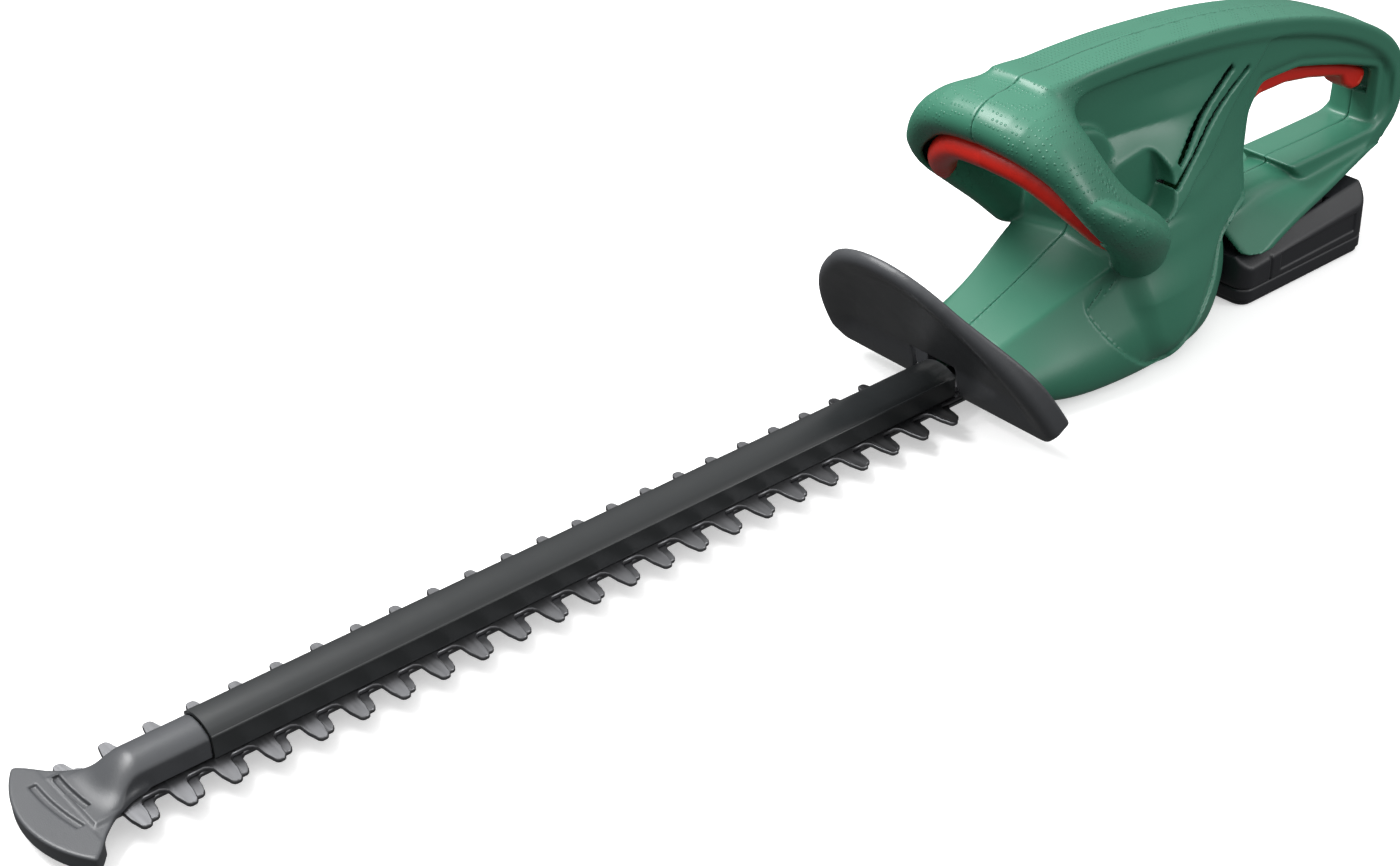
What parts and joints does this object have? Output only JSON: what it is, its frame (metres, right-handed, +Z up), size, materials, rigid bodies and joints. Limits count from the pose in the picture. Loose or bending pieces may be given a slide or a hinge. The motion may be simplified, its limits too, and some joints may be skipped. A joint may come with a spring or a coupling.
{
  "type": "hedge trimmer",
  "caption": "Battery hedge trimmer: long double-sided blade with tip guard, hand guard, bow front handle with switch lever, rear trigger handle and slide-off battery.",
  "frame": {"origin": "middle of the tool's length and width, on the plane that the belly and the battery rest on", "axes": "+X from the blade tip back to the rear handle, +Z up, -Y the tool's left side"},
  "size_m": [0.8389, 0.158, 0.1633],
  "materials": {
    "green_shell": "moulded green plastic, satin",
    "green_grip": "green plastic with a raised dot grain",
    "black_plastic": "fine-grained black plastic",
    "cover_black": "black powder-coated metal",
    "red_plastic": "smooth red plastic",
    "blade_steel": "ground and stamped tool steel",
    "screw_steel": "zinc-plated steel",
    "gear_steel": "machined steel",
    "case_metal": "die-cast light metal",
    "can_steel": "plated sheet steel",
    "magnet": "ferrite",
    "copper": "copper alloy",
    "inner_plastic": "moulded black plastic",
    "board_green": "circuit board laminate",
    "battery_dark": "dark grey moulded plastic",
    "cell_wrap": "wrapped steel cell",
    "battery_button_red": "smooth red plastic"
  },
  "bodies": {
    "housing": {"housing_left": "green_shell", "housing_right": "green_shell", "bow_handle_left": "green_grip", "bow_handle_right": "green_grip", "hand_guard": "black_plastic", "nose_collar": "black_plastic", "tip_guard": "black_plastic", "blade_cover": "cover_black", "guide_bar": "gear_steel", "guide_screws": "screw_steel", "guide_bushes": "screw_steel", "gear_case": "case_metal", "motor_plate": "gear_steel", "bottom_plate": "gear_steel", "case_spacers": "screw_steel", "case_screws": "screw_steel", "housing_screws": "screw_steel", "motor_can": "can_steel", "motor_end_bell": "inner_plastic", "motor_bushes": "copper", "motor_magnets": "magnet", "motor_brushes": "copper", "lever_pin": "screw_steel", "trigger_pin": "screw_steel", "lever_spring": "screw_steel", "trigger_spring": "screw_steel", "front_switch": "inner_plastic", "rear_switch": "inner_plastic", "circuit_board": "board_green", "contact_block": "inner_plastic", "contact_plates": "copper", "battery_rails": "inner_plastic"},
    "upper_blade": {"upper_blade": "blade_steel"},
    "lower_blade": {"lower_blade": "blade_steel"},
    "drive": {"drive_gear": "gear_steel", "gear_shaft": "gear_steel", "upper_eccentric": "gear_steel", "lower_eccentric": "gear_steel"},
    "rotor": {"motor_shaft": "gear_steel", "motor_pinion": "gear_steel", "rotor_core": "gear_steel", "commutator": "copper", "cooling_fan": "inner_plastic"},
    "front_lever": {"front_lever": "red_plastic"},
    "rear_trigger": {"rear_trigger": "red_plastic"},
    "battery": {"battery_tray": "battery_dark", "battery_top": "battery_dark", "battery_cells": "cell_wrap", "cell_strips": "copper", "pack_board": "board_green", "battery_screws": "screw_steel"},
    "battery_button": {"battery_button": "battery_button_red"}
  },
  "joints": [
    {"name": "upper_blade_slide", "type": "slide", "parent": "housing", "child": "upper_blade", "axis": [1, 0, 0], "range_m": [-0.0025, 0.0075]},
    {"name": "lower_blade_slide", "type": "slide", "parent": "housing", "child": "lower_blade", "axis": [1, 0, 0], "range_m": [-0.0075, 0.0025]},
    {"name": "gear_spin", "type": "hinge", "parent": "housing", "child": "drive", "pos_m": [0.172, 0, 0.017], "axis": [0, 0, 1], "continuous": true},
    {"name": "rotor_spin", "type": "hinge", "parent": "housing", "child": "rotor", "pos_m": [0.2044, 0, 0.05], "axis": [0, 0, 1], "continuous": true},
    {"name": "front_lever_turn", "type": "hinge", "parent": "housing", "child": "front_lever", "pos_m": [0.158, 0, 0.134], "axis": [0, 1, 0], "range_deg": [0, 6], "stiffness_Nm_per_rad": 0.8, "springref_deg": -6.88},
    {"name": "rear_trigger_turn", "type": "hinge", "parent": "housing", "child": "rear_trigger", "pos_m": [0.309, 0, 0.121], "axis": [0, -1, 0], "range_deg": [0, 4], "stiffness_Nm_per_rad": 0.9, "springref_deg": -6.88},
    {"name": "battery_slide", "type": "slide", "parent": "housing", "child": "battery", "axis": [1, 0, 0], "range_m": [0, 0.12]},
    {"name": "battery_button_press", "type": "slide", "parent": "battery", "child": "battery_button", "axis": [-1, 0, 0], "range_m": [0, 0.003], "stiffness_N_per_m": 500, "springref_m": -0.002}
  ],
  "couplings": [
    {"joint": "lower_blade_slide", "follows": "upper_blade_slide", "ratio": -1},
    {"joint": "rotor_spin", "follows": "gear_spin", "ratio": -5}
  ]
}
